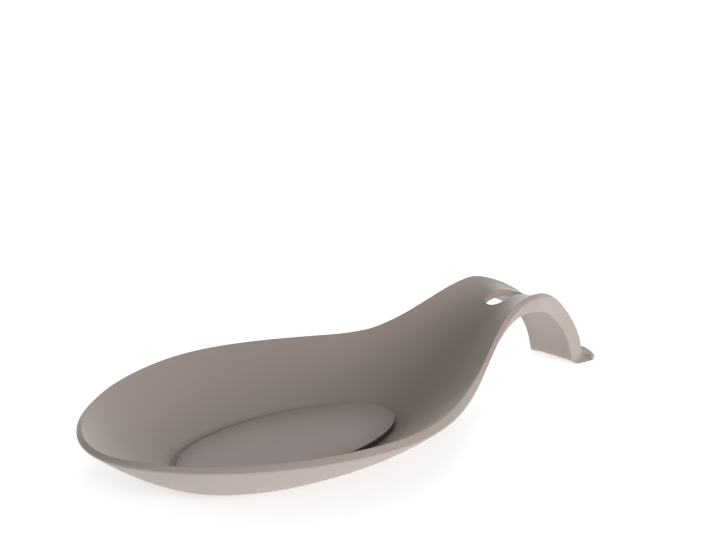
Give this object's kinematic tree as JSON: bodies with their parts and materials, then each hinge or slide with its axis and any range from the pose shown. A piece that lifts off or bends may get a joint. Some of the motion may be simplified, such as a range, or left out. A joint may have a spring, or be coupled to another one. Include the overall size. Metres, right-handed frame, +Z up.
{
  "type": "spoon rest",
  "caption": "Spoon rest moulded in one piece: a spoon-shaped bowl with a raised oval floor, a hollow handle that climbs to a crest with a hang slot, and a leg that bends down to a flat foot.",
  "frame": {"origin": "on the table, at the middle of the whole length and on the plane of symmetry", "axes": "+X runs from the bowl's tip to the foot, +Z is up, +Y completes the frame"},
  "size_m": [0.2564, 0.1258, 0.0391],
  "materials": {
    "body": "satin, warm grey-brown"
  },
  "bodies": {
    "root": {"rest_body": "body"}
  },
  "joints": []
}
